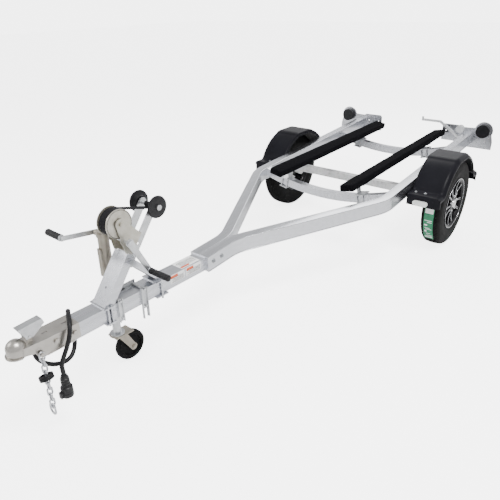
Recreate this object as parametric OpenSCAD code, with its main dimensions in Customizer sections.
// Single personal-watercraft trailer: A-frame of two bent aluminium rails on a
// box tongue, carpeted bunks, winch post, swivel jack with caster, two road wheels.
// Millimetres. +X forward (coupler), +Y left, +Z up, ground at z = 0.

/* [Wheels and axle] */
// road tyre outer radius
tyre_r = 288; // [260:300]
// tyre section half width
tyre_half_w = 66; // [55:75]
// wheel centre plane outside the rail's outer face
wheel_out = 133.25; // [120:150]
// rim seat radius under the tyre
rim_seat_r = 154; // [140:165]
// rim flange radius
rim_flange_r = 170; // [160:180]
// wheel spindle radius
spindle_r = 15; // [12:20]
// running clearance of shafts in bores
run_clear = 0.05; // [0.02:0.01:0.1]
// axle tube size
axle_tube = 48; // [40:60]
// axle tube centre ahead of the wheel centre
axle_x = 130; // [100:150]
// axle tube centre height
axle_z = 368; // [350:390]

/* [Main rails] */
// rail width
rail_w = 58.5; // [50:70]
// rail height
rail_h = 80; // [70:90]
// rail wall
rail_t = 4; // [3:6]
// lower lip beyond the rail's outer face
rail_lip = 3; // [1:5]
// gap between the two rails where they meet
rail_gap = 1; // [0.5:0.5:4]
// rail front end from the wheel centre
rail_front = 1711; // [1600:1800]
// rail rear end from the wheel centre
rail_rear = -856; // [-950:-800]
// rail top height at its front end
rail_top_z = 418.4; // [400:440]
// rise of the rails toward the rear, per unit length
rail_rise = 0.0535; // [0.02:0.001:0.08]
// forward corner of the rail's centreline
bend1_x = 1480; // [1400:1550]
// rearward corner of the rail's centreline
bend2_x = 636; // [560:720]
// rail centreline from the trailer's centreline at the rear
rail_y = 470.5; // [430:500]
// centreline bend radius at the front corner
bend1_r = 240; // [180:400]
// centreline bend radius at the rear corner
bend2_r = 260; // [200:400]

/* [Tongue] */
// tongue tube width
tongue_w = 80; // [70:90]
// tongue tube height
tongue_h = 68; // [60:80]
// tongue wall
tongue_t = 4; // [3:6]
// tongue top height above the ground at x = 1700
tongue_z = 411.5; // [380:440]
// tongue slope, degrees up toward the coupler
tongue_pitch = 1.758; // [0:0.1:4]
// tongue rear end inside the rails
tongue_rear = 1560; // [1500:1650]
// clearance between fitted frame pieces
fit = 0.5; // [0.2:0.1:0.8]

/* [Coupler] */
// coupler nose along the tongue
nose_x = 2694; // [2600:2800]
// coupler length over the tongue and ball
coupler_len = 273; // [240:300]
// tow ball diameter
ball_d = 50.8; // [47.6:0.1:60]
// ball socket clearance
ball_clear = 0.3; // [0.2:0.1:0.5]
// pressed steel thickness
coupler_t = 4; // [3:5]
// dome outer radius
dome_r = 36; // [33:42]
// latch lever width
latch_w = 34; // [28:40]

/* [Winch post] */
// front foot of the post along the tongue
post_x = 2302; // [2200:2350]
// post lean from upright, degrees
post_lean = 36.6; // [25:45]
// post channel width
post_w = 84; // [80:90]
// post channel depth
post_d = 42; // [35:50]
// post length along its front face
post_len = 246; // [220:280]
// post and fork plate thickness
plate_t = 4; // [3:6]
// fork length above the post foot, along the lean
fork_len = 492; // [450:520]
// bow roller axis along the lean
roller_up = 470; // [430:500]
// bow roller axis behind the post's front face
roller_back = 35; // [25:45]
// bow roller large radius
roller_r = 49; // [40:60]
// bow roller shaft radius
roller_shaft_r = 8; // [6:10]

/* [Winch] */
// drum axis along the tongue
drum_x = 2178; // [2150:2200]
// drum axis above the tongue's top
drum_z = 336; // [320:350]
// drive shaft along the tongue
pinion_x = 2169; // [2150:2190]
// drive shaft above the tongue's top
pinion_z = 263; // [255:270]
// drum gear teeth, for the ratio
gear_teeth = 61; // [50:70]
// pinion teeth
pinion_teeth = 12; // [10:16]
// wound strap radius
strap_roll_r = 54; // [40:58]
// drum flange radius
flange_r = 62; // [58:63]
// winch strap width
strap_w = 40; // [34:42]
// near side plate of the winch from the centreline
winch_near = 50; // [46:54]
// far side plate of the winch from the centreline
winch_far = -22; // [-26:-20]
// winch handle arm reach
handle_reach = 179; // [150:185]
// winch handle grip length
handle_grip = 112; // [90:130]

/* [Jack] */
// jack tube axis along the tongue
jack_x = 2167; // [2140:2190]
// jack tube axis from the centreline, far side
jack_y = -100; // [-120:-92]
// jack outer tube radius
jack_r = 24; // [20:28]
// jack tube top above the tongue's top
jack_top = 242; // [200:280]
// outer tube lower end below the tongue's top
jack_low = -100; // [-130:-90]
// inner tube length
inner_len = 312; // [300:330]
// inner tube radius
jack_inner_r = 19; // [15:22]
// caster wheel radius
caster_r = 76; // [70:85]
// caster wheel width
caster_w = 44; // [38:50]
// caster trail behind the jack axis
caster_trail = 58; // [45:70]
// crank arm reach
crank_reach = 150; // [120:170]

/* [Fenders] */
// fender arch outside the tyre's tread
fender_clear = 43; // [38:55]
// drop of the fender's flat top below its full arch
fender_flat = 5; // [2:12]
// gap between the rail's lower lip and the fender
fender_gap = 0.25; // [0.2:0.05:4]
// fender's outer side beyond the tyre
fender_over = 11; // [10:20]
// fender skin thickness
fender_t = 4; // [3:6]
// depth of the fender's side lips
fender_lip = 29; // [20:32]
// front step height
step_front_z = 438; // [420:450]
// rear step height
step_rear_z = 420; // [400:440]
// front and rear skirt position from the wheel centre
skirt_x = 378; // [360:400]
// skirt height
skirt_h = 70; // [55:80]

/* [Bunks] */
// front end of the bunks
bunk_front = 722; // [650:800]
// rear end of the bunks
bunk_rear = -822; // [-850:-700]
// bunk width
bunk_w = 90; // [80:120]
// bunk thickness with its carpet
bunk_t = 44; // [35:55]
// bunk centre from the centreline, at the bows
bunk_y = 273; // [240:300]
// rise of the bunks toward the rear, per unit length
bunk_rise = 0.0123; // [0:0.001:0.04]
// height of the front bunk bracket above its bow
bunk_lift = 66; // [50:80]

/* [Cross bows] */
// bow tube size
bow_size = 50; // [40:60]
// radius of the bows' top face
bow_r = 1450; // [1300:1700]
// front bow's front face behind the start of the rails' rear bend
bow_front_gap = 1; // [0.5:0.5:60]
// front bow top at the centreline
bow_front_z = 408; // [395:420]
// rear bow position
bow_rear_x = -500; // [-600:-450]
// rear bow top at the centreline
bow_rear_z = 452; // [440:465]

/* [Rear lights] */
// tail lamp centre outside the rail's outer face
lamp_out = 80.25; // [70:90]
// tail lamp centre height
lamp_z = 582; // [560:600]
// tail lamp radius
lamp_r = 50; // [45:55]
// light plate thickness
light_t = 4; // [3:6]
// small lamp centre inside the rail's inner face
small_in = 33.25; // [32:0.25:45]
// small lamp height
small_z = 580; // [560:590]

/* [Parts] */

/* [Hidden] */
$fn = 96;
tf_x = 1700;
// world x of a point given along and above the tongue, and the reverse
function tfx(x, z) = tf_x + (x - tf_x)*cos(tongue_pitch) - z*sin(tongue_pitch);
function tfz(x, z) = tongue_z + (x - tf_x)*sin(tongue_pitch) + z*cos(tongue_pitch);
function lx(x, z) = tf_x + (x - tf_x)*cos(tongue_pitch) + (z - tongue_z)*sin(tongue_pitch);
function lz(x, z) = -(x - tf_x)*sin(tongue_pitch) + (z - tongue_z)*cos(tongue_pitch);
lip_low = -31;
lens_d = 26;
plate_x = rail_rear;
x_max = tfx(nose_x, lip_low);
x_min = plate_x - light_t - lens_d;
shift = -(x_max + x_min)/2;
function rail_top(x) = rail_top_z + (rail_front - x)*rail_rise;
rail_y0 = rail_gap/2 + rail_w/2;
hub_z = tyre_r;
frame_half = tongue_w/2;
rail_out = rail_y + rail_w/2;
rail_in = rail_y - rail_w/2;
wheel_y = rail_out + wheel_out;
fender_r = tyre_r + fender_clear;
fender_top = hub_z + fender_r - fender_flat;
fender_in = rail_out + rail_lip + fender_gap;
fender_out = wheel_y + tyre_half_w + fender_over;
lamp_y = rail_out + lamp_out;
small_y = rail_in - small_in;
// post frame
pd = [-sin(post_lean), cos(post_lean)];
px = [cos(post_lean), sin(post_lean)];
function post_pt(back, up) = [post_x - back*px[0] + up*pd[0], -back*px[1] + up*pd[1]];
roller_pt = post_pt(roller_back, roller_up);
jack_bot = lz(tfx(jack_x, -300), 2*caster_r + 22);
caster_lx = jack_x - caster_trail;
caster_lz = lz(tfx(caster_lx, lz(2100, caster_r)), caster_r);
pivot_z = -tongue_h/2;
gear_d = sqrt(pow(drum_x - pinion_x, 2) + pow(drum_z - pinion_z, 2));
gear_r = (gear_d - 0.6)*gear_teeth/(gear_teeth + pinion_teeth);
pinion_r = (gear_d - 0.6)*pinion_teeth/(gear_teeth + pinion_teeth);
bunk_a = asin(bunk_y/bow_r);
v_ang = atan((rail_y - rail_y0)/(bend1_x - bend2_x));
t1 = bend1_r*tan(v_ang/2);
t2 = bend2_r*tan(v_ang/2);
bow_front_x = bend2_x - t2 - bow_size/2 - bow_front_gap;

module place() { translate([shift, 0, 0]) children(); }
module tf() { place() translate([tf_x, 0, tongue_z]) rotate([0, -tongue_pitch, 0]) translate([-tf_x, 0, 0]) children(); }
module post_frame() { tf() translate([post_x, 0, 0]) rotate([0, -post_lean, 0]) children(); }
// bar along Y through (x, z), from y0 to y1
module ycyl(x, z, y0, y1, r) { translate([x, y0, z]) rotate([-90, 0, 0]) cylinder(h = y1 - y0, r = r); }
// profile in X and Z, extruded from y0 to y1
module xz(y0, y1) { translate([0, y1, 0]) rotate([90, 0, 0]) linear_extrude(height = y1 - y0) children(); }
module box(x0, x1, y0, y1, z0, z1) { translate([x0, y0, z0]) cube([x1 - x0, y1 - y0, z1 - z0]); }
module hex_y(x, z, y0, y1, r) { translate([x, y0, z]) rotate([-90, 0, 0]) cylinder(h = y1 - y0, r = r, $fn = 6); }
module both() { children(); mirror([0, 1, 0]) children(); }

// closed skin through rings of equal point count
module skin(rings) {
  n = len(rings[0]); m = len(rings);
  pts = [for (r = rings) each r];
  polyhedron(points = pts, convexity = 8, faces = concat(
    [[for (i = [0:n-1]) n - 1 - i]],
    [for (j = [0:m-2]) for (i = [0:n-1]) each [
      [j*n + i, j*n + (i+1)%n, (j+1)*n + (i+1)%n],
      [j*n + i, (j+1)*n + (i+1)%n, (j+1)*n + i]]],
    [[for (i = [0:n-1]) (m-1)*n + i]]));
}

// rail centreline in plan: corner points and rounded bends
rail_path = concat([[rail_front, rail_y0, 0]],
  [for (i = [0:8]) let(a = v_ang*i/8) [bend1_x + t1 - bend1_r*sin(a), rail_y0 + bend1_r*(1 - cos(a)), a]],
  [for (i = [0:8]) let(a = v_ang*(1 - i/8)) [bend2_x - t2 + bend2_r*sin(a), rail_y - bend2_r*(1 - cos(a)), a]],
  [[rail_rear, rail_y, 0]]);
function rail_rings(x0cut, sec, grow) = [for (i = [0:len(rail_path)-1]) let(
    p = rail_path[i], e = (i == len(rail_path) - 1) ? grow : 0, f = (i == 0) ? x0cut : 0,
    x = p[0] - e - f)
  [for (s = sec) [x + s[0]*sin(p[2]), p[1] + s[0]*cos(p[2]), rail_top(x + s[0]*sin(p[2])) + s[1]]]];
rail_sec = [[-rail_w/2, 0], [-rail_w/2, -rail_h], [rail_w/2 + rail_lip, -rail_h],
  [rail_w/2 + rail_lip, -rail_h + 4], [rail_w/2, -rail_h + 5], [rail_w/2, 0]];
rail_void = [[-rail_w/2 + rail_t, -rail_t], [-rail_w/2 + rail_t, -rail_h + rail_t],
  [rail_w/2 - rail_t, -rail_h + rail_t], [rail_w/2 - rail_t, -rail_t]];

module rail() {
  difference() {
    place() skin(rail_rings(0, rail_sec, 0));
    place() skin(rail_rings(rail_t, rail_void, -rail_t));
    tf() box(tongue_rear - fit, rail_front + 40, -frame_half - fit, frame_half + fit, -rail_h - 30, fit);
  }
}
module rail_left() { color([0.8, 0.81, 0.83]) rail(); }
module rail_right() { color([0.8, 0.81, 0.83]) mirror([0, 1, 0]) rail(); }

module tongue() {
  color([0.78, 0.79, 0.81]) tf() difference() {
    box(tongue_rear, nose_x - 112, -frame_half, frame_half, -tongue_h, 0);
    box(tongue_rear - 1, nose_x - 111, -frame_half + tongue_t, frame_half - tongue_t, -tongue_h + tongue_t, -tongue_t);
  }
}

// bow tube: an arc of square tube, ends cut at the rails' inner faces
module bow(x, z) {
  color([0.8, 0.81, 0.82]) place() intersection() {
    translate([x, 0, z + bow_r]) rotate([0, 90, 0]) difference() {
      cylinder(h = bow_size, r = bow_r + bow_size, center = true, $fn = 360);
      cylinder(h = bow_size + 2, r = bow_r, center = true, $fn = 360);
      difference() {
        cylinder(h = bow_size - 2*rail_t, r = bow_r + bow_size - rail_t, center = true, $fn = 360);
        cylinder(h = bow_size, r = bow_r + rail_t, center = true, $fn = 360);
      }
    }
    box(x - bow_size, x + bow_size, -rail_in + 0.3, rail_in - 0.3, z - 2*bow_size, z + 400);
  }
}
module front_bow() { bow(bow_front_x, bow_front_z); }
module rear_bow() { bow(bow_rear_x, bow_rear_z); }

arm_y0 = wheel_y - tyre_half_w - 40;
arm_y1 = arm_y0 + 24;
module axle() {
  color([0.62, 0.63, 0.65]) place() union() {
    difference() {
      box(axle_x - axle_tube/2, axle_x + axle_tube/2, -arm_y0, arm_y0, axle_z - axle_tube/2, axle_z + axle_tube/2);
      box(axle_x - axle_tube/2 + 4, axle_x + axle_tube/2 - 4, -arm_y0 + 6, arm_y0 - 6, axle_z - axle_tube/2 + 4, axle_z + axle_tube/2 - 4);
    }
    both() {
      box(axle_x - 55, axle_x + 55, rail_in + 4, rail_out - 2, axle_z + axle_tube/2 - 1, rail_top(axle_x + 55) - rail_h - 0.3);
      xz(arm_y0 - 0.5, arm_y1) union() {
        translate([axle_x, axle_z]) circle(r = 33);
        translate([0, hub_z]) circle(r = 27);
        polygon([[axle_x + 17.6, axle_z - 27.9], [axle_x - 17.6, axle_z + 27.9], [-14.4, hub_z + 22.8], [14.4, hub_z - 22.8]]);
      }
      ycyl(0, hub_z, arm_y1 - 1, wheel_y + 36, spindle_r);
    }
  }
}

module tyre_shape() {
  rotate_extrude($fn = 120) polygon([[rim_seat_r, -50], [rim_flange_r + 3, -54], [215, -tyre_half_w + 1], [232, -tyre_half_w],
    [262, -61], [280, -49], [tyre_r, -30], [tyre_r, 30], [280, 49], [262, 61], [232, tyre_half_w], [215, tyre_half_w - 1],
    [rim_flange_r + 3, 54], [rim_seat_r, 50]]);
}
module rim_shape() {
  difference() {
    union() {
      rotate_extrude($fn = 120) polygon([[rim_seat_r - 10, -62], [rim_flange_r, -62], [rim_flange_r, -56], [rim_seat_r - 0.3, -50.5],
        [rim_seat_r - 0.3, 50.5], [rim_flange_r, 56], [rim_flange_r, 62], [rim_seat_r - 10, 62]]);
      translate([0, 0, 24]) cylinder(h = 24, r = rim_seat_r - 5);
      translate([0, 0, -38]) cylinder(h = 80, r = 42);
      translate([0, 0, 40]) cylinder(h = 21, r = 34);
    }
    for (k = [0:4]) rotate([0, 0, 90 + 36 + 72*k]) translate([0, 0, 20]) linear_extrude(height = 40)
      polygon([[62, -10], [134, -44], [143, -16], [143, 16], [134, 44], [62, 10]]);
    translate([0, 0, -40]) cylinder(h = 80, r = spindle_r + run_clear);
  }
}
module on_wheel() { place() translate([0, wheel_y, hub_z]) rotate([-90, 0, 0]) children(); }
module on_wheel_r() { place() translate([0, -wheel_y, hub_z]) rotate([90, 0, 0]) children(); }
module tyre_left() { color([0.1, 0.1, 0.1]) on_wheel() tyre_shape(); }
module tyre_right() { color([0.1, 0.1, 0.1]) on_wheel_r() tyre_shape(); }
module rim_left() { color([0.2, 0.2, 0.21]) on_wheel() rim_shape(); }
module rim_right() { color([0.2, 0.2, 0.21]) on_wheel_r() rim_shape(); }

// fender: side profile swept as a bent skin with bevelled edges and side lips
top_half = 92;
arc_hi = 90 - asin((top_half + 8)/fender_r);
arc_f = asin((step_front_z - hub_z)/fender_r);
arc_b = asin((step_rear_z - hub_z)/fender_r);
fender_path = concat([[skirt_x, step_front_z - skirt_h], [skirt_x, step_front_z]],
  [for (i = [0:7]) let(a = arc_f + (arc_hi - arc_f)*i/7) [fender_r*cos(a), hub_z + fender_r*sin(a)]],
  [[top_half - 8, fender_top], [-top_half, fender_top]],
  [for (i = [0:7]) let(a = arc_b + (arc_hi - arc_b)*(1 - i/7)) [-fender_r*cos(a), hub_z + fender_r*sin(a)]],
  [[-skirt_x, step_rear_z], [-skirt_x, step_rear_z - skirt_h]]);
function unit(v) = v/norm(v);
function mitre(p, i) = let(
    a = (i > 0) ? unit(p[i] - p[i-1]) : unit(p[1] - p[0]),
    b = (i < len(p) - 1) ? unit(p[i+1] - p[i]) : a,
    na = [-a[1], a[0]], nb = [-b[1], b[0]], m = unit(na + nb)) m/(m*na);
fender_sec = [[fender_in, fender_lip], [fender_in, 6], [fender_in + 6, 0], [fender_out - 30, 0], [fender_out - 10, 7],
  [fender_out, 20], [fender_out, fender_lip + 2], [fender_out - fender_t, fender_lip + 3], [fender_out - fender_t, 22],
  [fender_out - 12.5, 10.5], [fender_out - 31, fender_t], [fender_in + 7, fender_t], [fender_in + fender_t, 7.5], [fender_in + fender_t, fender_lip - 1]];
module fender() {
  place() skin([for (i = [0:len(fender_path)-1]) let(m = mitre(fender_path, i), p = fender_path[i])
    [for (s = fender_sec) [p[0] + m[0]*s[1], s[0], p[1] + m[1]*s[1]]]]);
}
module fender_left() { color([0.16, 0.16, 0.18]) fender(); }
module fender_right() { color([0.16, 0.16, 0.18]) mirror([0, 1, 0]) fender(); }

// bent strap from under a rail to under a fender's lips
module fender_bracket(x, lip_z) {
  zr = rail_top(x + 20) - rail_h;
  box(x - 20, x + 20, rail_in + 6, rail_out - 6, zr - 5.3, zr - 0.3);
  box(x - 20, x + 20, rail_out - 7, rail_out - 2, lip_z - 5, zr - 0.3);
  box(x - 20, x + 20, rail_out - 7, fender_out - 70, lip_z - 5, lip_z);
}
module fender_brackets() {
  color([0.7, 0.71, 0.72]) place() both() {
    fender_bracket(skirt_x - 23 - fender_lip, step_front_z - fender_lip - 0.3);
    fender_bracket(-skirt_x + 23 + fender_lip, step_rear_z - fender_lip - 0.3);
  }
}
module marker_lamps() {
  color([0.9, 0.9, 0.88]) place() both() translate([skirt_x + 0.2, (fender_in + fender_out)/2 - 12, step_front_z - skirt_h + 22])
    rotate([90, 0, 90]) linear_extrude(height = 14) union() {
      square([62, 30], center = true);
      translate([31, 0]) circle(r = 15);
      translate([-31, 0]) circle(r = 15);
    }
}

// tilted frame at a bow's top: z up along the bow's local normal
module on_bow(zmid) { translate([0, 0, zmid + bow_r]) rotate([bunk_a, 0, 0]) translate([0, 0, -bow_r]) children(); }
bow_dz = bow_rear_z - bow_front_z;
bow_dx = bow_front_x - bow_rear_x;
bunk_dy = bow_dz*sin(bunk_a)/2;
rear_lift = bunk_lift + bunk_rise*bow_dx - bow_dz*cos(bunk_a);
module bunk() {
  place() on_bow(bow_front_z) translate([bow_front_x, bunk_dy, bunk_lift + 0.35 + 32*bunk_rise])
    rotate([0, atan(bunk_rise), 0]) intersection() {
      translate([bunk_rear - bow_front_x, -bunk_w/2, 0]) cube([bunk_front - bunk_rear, bunk_w, bunk_t]);
      rotate([90, 0, 90]) translate([0, 0, bunk_rear - bow_front_x]) linear_extrude(height = bunk_front - bunk_rear) union() {
        translate([-bunk_w/2 + 10, 0]) square([bunk_w - 20, bunk_t]);
        translate([-bunk_w/2, 10]) square([bunk_w, bunk_t - 20]);
        for (sx = [-1, 1]) for (zz = [10, bunk_t - 10]) translate([sx*(bunk_w/2 - 10), zz]) circle(r = 10);
      }
    }
}
module bunk_left() { color([0.07, 0.07, 0.08]) bunk(); }
module bunk_right() { color([0.07, 0.07, 0.08]) mirror([0, 1, 0]) bunk(); }

// saddle plate, U-bolt legs, lower clamp and an upright channel to the bunk
module bunk_bracket(x, zmid, lift, dy) {
  h = bow_size/2;
  up = pow(32 + abs(dy), 2)/(2*bow_r) + 0.3;
  on_bow(zmid) translate([x, dy, 0]) {
    box(-h - 18, h + 18, -32, 32, up, up + 6);
    for (sx = [-1, 1]) for (sy = [-1, 1]) translate([sx*(h + 6), sy*20, -bow_size - 16]) cylinder(h = bow_size + 26, r = 4.5, $fn = 32);
    box(-h - 16, h + 16, -28, 28, -bow_size - 12, -bow_size - 6);
    difference() {
      box(-22, 22, -20, 20, up + 5, lift - 4);
      box(-23, 23, -15, 30, up + 5.5, lift - 4.5);
    }
    box(-32, 32, -20, 34, lift - 5, lift);
  }
}
module bunk_brackets() {
  place() {
    bunk_bracket(bow_front_x, bow_front_z, bunk_lift, bunk_dy*2);
    bunk_bracket(bow_rear_x, bow_rear_z, rear_lift, 0);
  }
}
module bunk_brackets_left() { color([0.68, 0.69, 0.7]) bunk_brackets(); }
module bunk_brackets_right() { color([0.68, 0.69, 0.7]) mirror([0, 1, 0]) bunk_brackets(); }

// rear light plate with round lobe, in Y and Z
module light_outline() {
  difference() {
    union() {
      translate([lamp_y, lamp_z]) circle(r = lamp_r + 17);
      polygon([[lamp_y - 115, lamp_z - 140], [lamp_y + 75, lamp_z - 140], [lamp_y + 75, lamp_z - 80], [lamp_y + 60, lamp_z - 20],
        [lamp_y, lamp_z + 20], [lamp_y - 115, lamp_z + 12]]);
      polygon([[lamp_y - 315, lamp_z - 108], [lamp_y - 114, lamp_z - 108], [lamp_y - 114, lamp_z + 12], [lamp_y - 150, lamp_z + 12], [lamp_y - 165, lamp_z + 22],
        [lamp_y - 300, lamp_z + 22], [lamp_y - 315, lamp_z + 8]]);
    }
    translate([lamp_y, lamp_z]) circle(r = lamp_r + 0.3);
    for (dy = [0, 90]) translate([lamp_y - 285 + dy, lamp_z - 30]) circle(r = 4.5);
  }
}
module light_plate() { place() translate([plate_x - 0.1, 0, 0]) rotate([90, 0, -90]) mirror([1, 0, 0]) linear_extrude(height = light_t) light_outline(); }
module light_plate_left() { color([0.75, 0.76, 0.78]) light_plate(); }
module light_plate_right() { color([0.75, 0.76, 0.78]) mirror([0, 1, 0]) light_plate(); }
module tail_lamp() {
  place() translate([plate_x, lamp_y, lamp_z]) rotate([0, -90, 0]) union() {
    translate([0, 0, -34]) cylinder(h = 34 + light_t + 0.1, r = lamp_r);
    translate([0, 0, light_t + 0.1]) cylinder(h = lens_d - 0.1, r = lamp_r + 6);
  }
}
module tail_lamp_left() { color([0.08, 0.08, 0.08]) tail_lamp(); }
module tail_lamp_right() { color([0.08, 0.08, 0.08]) mirror([0, 1, 0]) tail_lamp(); }
arm_end = rail_in - 3;
// bent bar with its small lamp, near side only
module plate_arm() {
  color([0.88, 0.88, 0.9]) place() {
    translate([plate_x + 0.2, 0, 0]) rotate([90, 0, 90]) linear_extrude(height = 10) union() {
      polygon([[90, lamp_z + 24], [240, lamp_z + 24], [arm_end - 22, lamp_z - 96], [arm_end, lamp_z - 96], [arm_end, lamp_z - 80], [arm_end - 16, lamp_z - 78], [246, lamp_z + 42], [90, lamp_z + 42]]);
      polygon([[90, lamp_z + 42], [104, lamp_z + 42], [104, lamp_z + 58], [90, lamp_z + 58]]);
    }
    translate([plate_x + 0.2, small_y, small_z]) rotate([0, 90, 0]) cylinder(h = 30, r = 30);
  }
}

// coupler: channel over the tongue, neck, dome with ball socket and lower lip
cpl_rear = nose_x - coupler_len;
dome_x = nose_x - dome_r - 6;
dome_z = -2;
cw = frame_half + fit + coupler_t;
module coupler_body() {
  color([0.72, 0.69, 0.64]) tf() union() {
  difference() {
    union() {
      box(cpl_rear, nose_x - 94, -cw, cw, -tongue_h + 8, fit + coupler_t);
      xz(-cw, cw) polygon([[nose_x - 94.5, -tongue_h + 30], [nose_x - 94.5, fit + coupler_t], [dome_x - 8, fit + coupler_t], [dome_x - 8, lip_low + 2]]);
      intersection() {
        translate([dome_x, 0, dome_z]) sphere(r = dome_r);
        box(dome_x - 60, nose_x, -60, 60, lip_low, 60);
      }
      translate([dome_x, 0, lip_low]) cylinder(h = 6, r = dome_r + 6);
      translate([dome_x, 0, lip_low]) cylinder(h = -lip_low + dome_z, r = dome_r);
      box(nose_x - 102, nose_x - 82, -10, 10, fit, 33);
      ycyl(nose_x - 92, 28, -10, 10, 12);
      for (k = [0, 1, 2]) hex_y(cpl_rear + 22 + 78*k, [-30, -24, -14][k], -cw - 7, cw + 7, 11);
      box(cpl_rear + 30, nose_x - 120, cw - 8, cw + 2, -tongue_h + 3, -tongue_h + 9);
      box(cpl_rear + 30, nose_x - 120, -cw - 2, -cw + 8, -tongue_h + 3, -tongue_h + 9);
    }
    // side walls narrow toward the dome
    for (s = [-1, 1]) tf_cut(s);
    // rear lower edge rises forward
    xz(-cw - 20, cw + 20) polygon([[cpl_rear + 130, -tongue_h - 5], [nose_x - 60, lip_low - 0.5], [nose_x - 60, -120], [cpl_rear + 130, -120]]);
    // room for the tongue and the clamp
    box(cpl_rear - 1, nose_x - 111.5, -frame_half - fit, frame_half + fit, -tongue_h - 60, fit);
    box(nose_x - 112, nose_x - 80, -30, 30, -tongue_h, fit);
    translate([dome_x, 0, dome_z]) sphere(r = ball_d/2 + ball_clear);
    translate([dome_x, 0, lip_low - 1]) cylinder(h = -lip_low + dome_z + 1, r = ball_d/2 + ball_clear);
    ycyl(nose_x - 92, 28, -11, 11, 5 + run_clear);
    for (k = [0, 1]) translate([cpl_rear + 38 + 82*k, 0, -2]) linear_extrude(height = 12) square([22, 7], center = true);
  }
  ycyl(chain_x, stud_z, cw - 9, cw + 15, stud_r);
  ycyl(chain_x, stud_z, cw + 12, cw + 17, 8);
  box(cord_pts[0][0] - 11, nose_x - 76, cord_pts[0][1] - 14, cord_pts[0][1] + 14, cord_pts[0][2] + 0.3, cord_pts[0][2] + 13);
  }
}
module tf_cut(s) {
  translate([0, 0, -120]) linear_extrude(height = 240)
    polygon([[nose_x - 130, s*(cw + 0.01)], [dome_x - 12, s*dome_r], [dome_x - 6, s*(dome_r + 0.5)], [dome_x + 1, s*(dome_r + 6)], [dome_x + 1, s*90], [nose_x - 130, s*90]]);
}
// raised latch lever: an inverted channel on the cross pin
module coupler_latch() {
  color([0.75, 0.77, 0.8]) tf() {
    difference() {
      xz(-latch_w/2, latch_w/2) polygon([[nose_x - 76, 32], [nose_x - 56, 72], [nose_x - 149, 78], [nose_x - 156, 57], [nose_x - 106, 21], [nose_x - 78, 20]]);
      xz(-latch_w/2 + 3, latch_w/2 - 3) polygon([[nose_x - 40, 0], [nose_x - 50, 68.5], [nose_x - 170, 75], [nose_x - 170, 0]]);
    }
    ycyl(nose_x - 92, 28, -latch_w/2 - 3, latch_w/2 + 3, 5);
  }
}

// safety chain from the coupler's near side down to an S-hook
link_r = 3.5;
link_w = 9;
chain_n = 9;
stud_r = 4;
stud_z = -42;
chain_x = nose_x - 104;
chain_y = cw + 7;
link_hl = 8.2;
link_in = link_hl + link_w - link_r;
chain_z0 = stud_z + stud_r + 0.3 - link_in;
chain_pitch = 2*link_in - 0.4;
module link(wr, hw, hl) {
  for (s = [-1, 1]) translate([0, s*hw, 0]) cylinder(h = 2*hl, r = wr, center = true, $fn = 16);
  for (s = [0, 180]) rotate([s, 0, 0]) translate([0, 0, hl]) rotate([90, 0, 90]) rotate_extrude(angle = 180, $fn = 32) translate([hw, 0]) circle(r = wr, $fn = 16);
}
module safety_chain() {
  color([0.72, 0.74, 0.76]) tf()
    for (k = [0:chain_n-1]) translate([chain_x + 0.5*k, chain_y + 0.5*k, chain_z0 - chain_pitch*k]) rotate([0, 0, ((k + 1) % 2)*90]) link(link_r, link_w, link_hl);
}
// round bar hook hung by its eye from the lowest link
module chain_hook() {
  color([0.72, 0.74, 0.76]) tf() translate([chain_x + 0.5*chain_n - 0.5, chain_y + 0.5*chain_n - 0.5, chain_z0 - chain_pitch*(chain_n - 1) - link_in - 5.6]) {
    rotate([90, 0, 90]) rotate_extrude(angle = 270, $fn = 48) translate([10, 0]) circle(r = 4, $fn = 20);
    translate([0, 10, -24]) cylinder(h = 24, r = 4, $fn = 20);
    translate([0, -8, -24]) rotate([90, 0, 90]) rotate([0, 0, 180]) rotate_extrude(angle = 180, $fn = 48) translate([18, 0]) circle(r = 4, $fn = 20);
    translate([0, -26, -24]) cylinder(h = 16, r = 4, $fn = 20);
  }
}
// small cable coil wound around the chain
module coil_keeper() {
  color([0.06, 0.06, 0.06]) tf() translate([chain_x + 2, chain_y - 0.6, chain_z0 - 96]) rotate([25, 0, 0])
    for (k = [-1, 0, 1]) translate([0, 0, 7*k]) rotate_extrude($fn = 48) translate([24, 0]) circle(r = 3.9, $fn = 20);
}

// leaning channel post with its foot plate and clamp
module winch_post() {
  color([0.75, 0.76, 0.79]) {
    difference() {
      post_frame() difference() {
        box(-post_d, 0, -post_w/2, post_w/2, -60, post_len);
        box(-post_d - 1, -plate_t, -post_w/2 + plate_t, post_w/2 - plate_t, -61, post_len + 1);
        translate([1, 0, 84]) rotate([0, -90, 0]) cylinder(h = 8, r = 5.5);
      }
      tf() box(post_x - 200, post_x + 120, -80, 80, -200, 3);
    }
    tf() {
      box(post_x - 43, post_x + 3, -frame_half - 14, frame_half + 14, 0.1, 5);
      for (s = [-1, 1]) for (dx = [-14, -32]) translate([post_x + dx, s*(frame_half + 7), -tongue_h - 14]) cylinder(h = tongue_h + 24, r = 5, $fn = 32);
      box(post_x - 43, post_x + 4, -frame_half - 14, frame_half + 14, -tongue_h - 6.1, -tongue_h - 0.1);
    }
    b = post_pt(28, 214);
    tf() for (s = [-1, 1]) hex_y(b[0], b[1], s > 0 ? post_w/2 - 0.5 : -post_w/2 - 6, s > 0 ? post_w/2 + 6 : -post_w/2 + 0.5, 10);
  }
}
fork_out = post_w/2 - plate_t - 0.1;
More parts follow.
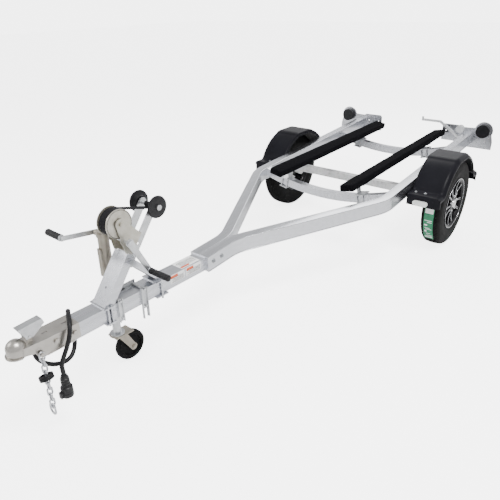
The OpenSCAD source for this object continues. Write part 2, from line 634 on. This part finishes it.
// two side plates with the bow roller's shaft
module roller_fork() {
  color([0.7, 0.7, 0.69]) {
    post_frame() for (s = [-1, 1]) difference() {
      union() {
        box(-54, -15, s > 0 ? fork_out - plate_t : -fork_out, s > 0 ? fork_out : -fork_out + plate_t, 196, fork_len - 20);
        ycyl(-roller_back, fork_len - 20, s > 0 ? fork_out - plate_t : -fork_out, s > 0 ? fork_out : -fork_out + plate_t, 19);
      }
      ycyl(-roller_back, 300, -60, 60, 5);
    }
    tf() {
      ycyl(roller_pt[0], roller_pt[1], -74, 74, roller_shaft_r);
      for (s = [-1, 1]) hex_y(roller_pt[0], roller_pt[1], s > 0 ? 65.5 : -74, s > 0 ? 74 : -65.5, 13);
    }
  }
}
module roller() {
  tf() translate([roller_pt[0], fork_out + 5, roller_pt[1]]) rotate([-90, 0, 0]) difference() {
    rotate_extrude() polygon([[0, 0], [26, 0], [28, 4], [38, 9], [roller_r - 1, 12], [roller_r, 16], [roller_r - 2, 21], [34, 22], [20, 22], [0, 22]]);
    translate([0, 0, -1]) cylinder(h = 30, r = roller_shaft_r + run_clear);
  }
}
module roller_left() { color([0.08, 0.08, 0.08]) roller(); }
module roller_right() { color([0.08, 0.08, 0.08]) mirror([0, 1, 0]) roller(); }

brace_foot = [1990, 4];
brace_len = 200;
module post_brace() {
  color([0.8, 0.8, 0.81]) {
    difference() {
      tf() translate([brace_foot[0], 0, brace_foot[1]]) rotate([0, 45.6, 0]) difference() {
        box(-16, 12, -fork_out + plate_t + 0.5, fork_out - plate_t - 0.5, -30, brace_len);
        box(-12, 13, -fork_out + 2*plate_t + 0.5, fork_out - 2*plate_t - 0.5, -31, brace_len + 1);
      }
      tf() box(1900, 2100, -80, 80, -100, 3);
    }
    tf() {
      box(brace_foot[0] - 32, brace_foot[0] + 40, -frame_half - 12, frame_half + 12, 0.1, 5);
      for (s = [-1, 1]) translate([brace_foot[0] + 10, s*(frame_half + 6.5), -tongue_h - 18]) cylinder(h = tongue_h + 28, r = 5, $fn = 32);
      box(brace_foot[0] - 22, brace_foot[0] + 44, -frame_half - 12, frame_half + 12, -tongue_h - 6.1, -tongue_h - 0.1);
    }
  }
}

// winch: side plates on a base, drum with gear, strap, drive shaft and crank
base_a = post_pt(13, 252);
base_b = post_pt(13, 345);
shaft_r = 7;
drum_hub = 8;
module winch_frame() {
  color([0.72, 0.7, 0.66]) difference() {
    union() {
      post_frame() box(-14.9, -11, winch_far - plate_t + 0.5, winch_near + plate_t - 0.5, 250, 348);
      tf() for (y = [winch_far - plate_t, winch_near]) xz(y, y + plate_t) union() {
        polygon([base_a, [base_a[0] + 30, base_a[1] + 12], [drum_x + 22, drum_z - 6], [drum_x - 20, drum_z + 12], base_b]);
        translate([drum_x, drum_z]) circle(r = 24);
        translate([pinion_x, pinion_z]) circle(r = 20);
      }
      tf() ycyl(drum_x, drum_z, winch_far - plate_t - 8, winch_near + plate_t + 8, drum_hub);
    }
    tf() ycyl(pinion_x, pinion_z, winch_far - 20, winch_near + 20, shaft_r + run_clear);
  }
}
gear_y0 = winch_near - 12;
gear_y1 = winch_near - 5;
strap_y = (winch_far + 8 + gear_y0 - 5)/2;
module winch_drum() {
  color([0.66, 0.65, 0.6]) tf() difference() {
    union() {
      ycyl(drum_x, drum_z, winch_far + 5, gear_y1, 20);
      ycyl(drum_x, drum_z, winch_far + 5, winch_far + 8, flange_r);
      ycyl(drum_x, drum_z, strap_y - strap_w/2 - 1, strap_y + strap_w/2 + 1, strap_roll_r);
      ycyl(drum_x, drum_z, gear_y0, gear_y1, gear_r);
    }
    ycyl(drum_x, drum_z, winch_far, winch_near, drum_hub + run_clear);
  }
}
strap_ang = 107;
module winch_strap() {
  sr = strap_roll_r + 3;
  a = [drum_x + sr*cos(strap_ang), drum_z + sr*sin(strap_ang)];
  b = [roller_pt[0] + 4, roller_pt[1] - 11];
  u = unit(b - a);
  n = [u[1], -u[0]];
  color([0.05, 0.05, 0.06]) tf() difference() {
    union() {
      xz(strap_y - strap_w/2, strap_y + strap_w/2) polygon([a, b + 6*u, b + 6*u - 2.4*n, a - 2.4*n]);
      ycyl(roller_pt[0], roller_pt[1], strap_y - strap_w/2, strap_y + strap_w/2, 12);
    }
    ycyl(roller_pt[0], roller_pt[1], -40, 40, roller_shaft_r + 0.3);
  }
}
grip_a = 242.0;
hand_y = 82;
module winch_handle() {
  hx = pinion_x + handle_reach*cos(grip_a);
  hz = pinion_z + handle_reach*sin(grip_a);
  color([0.7, 0.71, 0.73]) tf() {
    ycyl(pinion_x, pinion_z, winch_far - plate_t - 4, hand_y + 10, shaft_r);
    ycyl(pinion_x, pinion_z, gear_y0, gear_y1, pinion_r);
    hex_y(pinion_x, pinion_z, hand_y + 5.5, hand_y + 14, 14);
    xz(hand_y, hand_y + 6) union() {
      translate([pinion_x, pinion_z]) circle(r = 17);
      translate([hx, hz]) circle(r = 12);
      polygon([[pinion_x + 15*sin(grip_a), pinion_z - 15*cos(grip_a)], [hx + 11*sin(grip_a), hz - 11*cos(grip_a)],
        [hx - 11*sin(grip_a), hz + 11*cos(grip_a)], [pinion_x - 15*sin(grip_a), pinion_z + 15*cos(grip_a)]]);
    }
    ycyl(hx, hz, hand_y + 5.5, hand_y + 6 + handle_grip, 13);
  }
}

// jack: clamp on the tongue, swivelling tube, crank, inner tube and caster
strip_f = jack_x + 60;
strip_b = jack_x - 67;
jb_y = -frame_half - 6;
module jack_bracket() {
  color([0.7, 0.71, 0.72]) tf() {
    box(strip_b - 20, strip_f + 9, jb_y, -frame_half - 0.1, -tongue_h - 2, 16);
    difference() {
      union() {
        box(strip_f - 13, strip_f + 11, frame_half + 0.1, frame_half + 11, -tongue_h - 26, 15);
        box(strip_b - 16, strip_b + 16, frame_half + 0.1, frame_half + 11, -tongue_h - 70, 15);
      }
      box(strip_f - 9, strip_f + 7, frame_half + 4, frame_half + 12, -tongue_h - 27, 16);
      box(strip_b - 12, strip_b + 12, frame_half + 4, frame_half + 12, -tongue_h - 71, 16);
      box(strip_b - 8, strip_b + 8, frame_half, frame_half + 12, -tongue_h - 71, -tongue_h - 24);
    }
    for (x = [strip_f, strip_b]) {
      ycyl(x, 7, jb_y - 8, frame_half + 16, 5.5);
      ycyl(x, -tongue_h - 8, jb_y - 8, frame_half + 16, 5.5);
    }
    box(strip_f - 12, strip_f + 9, jb_y, -frame_half - 0.1, -tongue_h - 16, -tongue_h);
    box(strip_b - 12, strip_b + 12, jb_y, -frame_half - 0.1, -tongue_h - 16, -tongue_h);
    ycyl(jack_x, pivot_z, jb_y - 12, jb_y + 0.5, 30);
    // pull pin on the tongue's top
    box(strip_b - 6, jack_x + 20, -frame_half - 5, -frame_half + 22, 0.1, 4);
    translate([strip_b + 4, -frame_half + 9, 15]) rotate([0, 90, 0]) cylinder(h = 66, r = 8);
    translate([strip_b + 4, -frame_half + 9, 15]) rotate([0, 90, 0]) translate([0, 0, 60]) cylinder(h = 34, r = 13);
    box(strip_b + 6, strip_b + 46, -frame_half + 4, -frame_half + 14, 3.5, 12);
  }
}
module jack_tube() {
  color([0.72, 0.68, 0.6]) tf() difference() {
    union() {
      translate([jack_x, jack_y, jack_low]) cylinder(h = jack_top - jack_low, r = jack_r);
      translate([jack_x, jack_y, jack_top - 0.5]) cylinder(h = 18, r = jack_r + 4);
      translate([jack_x, jack_y, jack_top + 17]) cylinder(h = 6, r = jack_r - 3);
      intersection() {
        ycyl(jack_x, pivot_z, jack_y, jb_y - 12.3, 34);
        box(jack_x - 60, jack_x + 60, jack_y + 12, 0, -120, 60);
      }
      box(jack_x + jack_r - 3, jack_x + jack_r + 6, jack_y - 12, jack_y + 12, 60, 190);
      ycyl(jack_x + 6, jack_top + 9, jack_y - jack_r - 14, jack_y, 14);
    }
    translate([jack_x, jack_y, jack_low - 1]) cylinder(h = jack_top - jack_low - 20, r = jack_inner_r + 0.3);
    ycyl(jack_x + 6, jack_top + 9, jack_y - jack_r - 20, jack_y - 4, 7 + run_clear);
  }
}
module jack_crank() {
  cy = jack_y - jack_r - 16;
  color([0.6, 0.61, 0.63]) tf() {
    ycyl(jack_x + 6, jack_top + 9, cy - 8, jack_y - 6, 7);
    translate([jack_x + 6, cy - 8, jack_top + 9]) rotate([0, -8, 0]) {
      translate([-12, 0, -10]) cube([crank_reach + 20, 6, 20]);
      ycyl(crank_reach, 0, -104, 0.5, 13.5);
    }
  }
}
module jack_inner() {
  color([0.76, 0.77, 0.78]) tf() {
    difference() {
      translate([jack_x, jack_y, jack_bot]) cylinder(h = inner_len, r = jack_inner_r);
      translate([jack_x, jack_y, jack_bot + 6]) cylinder(h = inner_len, r = jack_inner_r - 4);
    }
    translate([jack_x, jack_y, jack_bot]) cylinder(h = 6, r = 34);
  }
}
cf_w = caster_w/2 + 6;
module caster_fork() {
  color([0.74, 0.7, 0.62]) tf() {
    translate([jack_x, jack_y, jack_bot - 6.3]) cylinder(h = 6, r = 38);
    box(jack_x - caster_trail - 10, jack_x + 30, jack_y - cf_w - 4, jack_y + cf_w + 4, jack_bot - 12, jack_bot - 6);
    for (s = [-1, 1]) xz(s > 0 ? jack_y + cf_w : jack_y - cf_w - 4, s > 0 ? jack_y + cf_w + 4 : jack_y - cf_w) union() {
      polygon([[jack_x + 16, jack_bot - 7], [jack_x - 30, jack_bot - 7], [caster_lx - 14, caster_lz + 6], [caster_lx + 2, caster_lz - 17], [caster_lx + 16, caster_lz - 6]]);
      translate([caster_lx, caster_lz]) circle(r = 18);
    }
    ycyl(caster_lx, caster_lz, jack_y - cf_w - 12, jack_y + cf_w + 12, 7);
    hex_y(caster_lx, caster_lz, jack_y + cf_w + 3.5, jack_y + cf_w + 10, 12);
    hex_y(caster_lx, caster_lz, jack_y - cf_w - 10, jack_y - cf_w - 3.5, 12);
  }
}
module caster_wheel() {
  color([0.1, 0.1, 0.1]) tf() translate([caster_lx, jack_y, caster_lz]) rotate([-90, 0, 0]) difference() {
    rotate_extrude() polygon([[0, -caster_w/2], [18, -caster_w/2], [20, -10], [50, -10], [54, -caster_w/2 + 3], [68, -caster_w/2 + 2], [caster_r - 2, -14], [caster_r, -6],
      [caster_r, 6], [caster_r - 2, 14], [68, caster_w/2 - 2], [54, caster_w/2 - 3], [50, 10], [20, 10], [18, caster_w/2], [0, caster_w/2]]);
    cylinder(h = 80, r = 7 + run_clear, center = true);
  }
}

// wiring conduit: a round tube along chosen points, and its plug
cord_r = 9;
cord_pts = [[2597, 12, -42], [2597, 13, -58], [2593, 16, -77], [2582, 20, -96], [2565, 24, -114], [2543, 27, -130], [2517, 28, -141], [2491, 27, -145],
  [2466, 22, -140], [2447, 12, -129], [2432, -1, -117], [2420, -16, -107], [2412, -33, -97], [2407, -48, -84], [2405, -57, -66], [2404, -60, -46],
  [2404, -60, -26], [2405, -57, -7], [2408, -49, 10], [2414, -36, 21], [2423, -19, 26], [2434, 0, 28], [2445, 20, 28], [2455, 39, 23],
  [2465, 54, 12], [2474, 63, -5], [2483, 66, -26], [2493, 66, -48], [2504, 65, -70], [2515, 63, -91], [2524, 60, -112], [2529, 58, -134], [2529, 58, -154], [2529, 58, -172]];
function cr(p0, p1, p2, p3, t) = 0.5*((2*p1) + (p2 - p0)*t + (2*p0 - 5*p1 + 4*p2 - p3)*t*t + (3*p1 - p0 - 3*p2 + p3)*t*t*t);
function cpt(i) = cord_pts[max(0, min(len(cord_pts) - 1, i))];
cord_line = concat([for (i = [0:len(cord_pts)-2]) for (t = [0, 0.5]) cr(cpt(i-1), cpt(i), cpt(i+1), cpt(i+2), t)], [cord_pts[len(cord_pts)-1]]);
function tang(i) = unit(cord_line[min(len(cord_line)-1, i+1)] - cord_line[max(0, i-1)]);
// carry a side direction along the line without twist
function carry(i, u) = let(t = tang(i), v = u - (u*t)*t) unit(v);
function sides(i, u, acc) = (i >= len(cord_line)) ? acc : let(v = carry(i, u)) sides(i + 1, v, concat(acc, [v]));
cord_side = sides(0, [0, 1, 0], []);
module wiring_cord() {
  color([0.05, 0.05, 0.05]) tf() skin([for (i = [0:len(cord_line)-1]) let(t = tang(i), u = cord_side[i], w = cross(t, u))
    [for (k = [0:9]) cord_line[i] + cord_r*(cos(36*k)*u + sin(36*k)*w)]]);
}
module wiring_plug() {
  e = cord_pts[len(cord_pts)-1];
  color([0.07, 0.07, 0.07]) tf() translate(e) {
    translate([0, 0, -15]) cylinder(h = 15, r = 15);
    translate([0, 0, -58]) cylinder(h = 43.5, r = 18);
    translate([0, 0, -104]) cylinder(h = 47, r = 24);
    translate([12, -9, -98]) cube([22, 18, 26]);
  }
}

tongue();
rail_left();
rail_right();
front_bow();
rear_bow();
axle();
tyre_left();
rim_left();
tyre_right();
rim_right();
fender_left();
fender_right();
fender_brackets();
marker_lamps();
bunk_left();
bunk_right();
bunk_brackets_left();
bunk_brackets_right();
light_plate_left();
light_plate_right();
tail_lamp_left();
tail_lamp_right();
plate_arm();
coupler_body();
coupler_latch();
safety_chain();
chain_hook();
coil_keeper();
winch_post();
roller_fork();
post_brace();
winch_frame();
winch_drum();
winch_strap();
winch_handle();
roller_left();
roller_right();
jack_bracket();
jack_tube();
jack_crank();
jack_inner();
caster_fork();
caster_wheel();
wiring_cord();
wiring_plug();
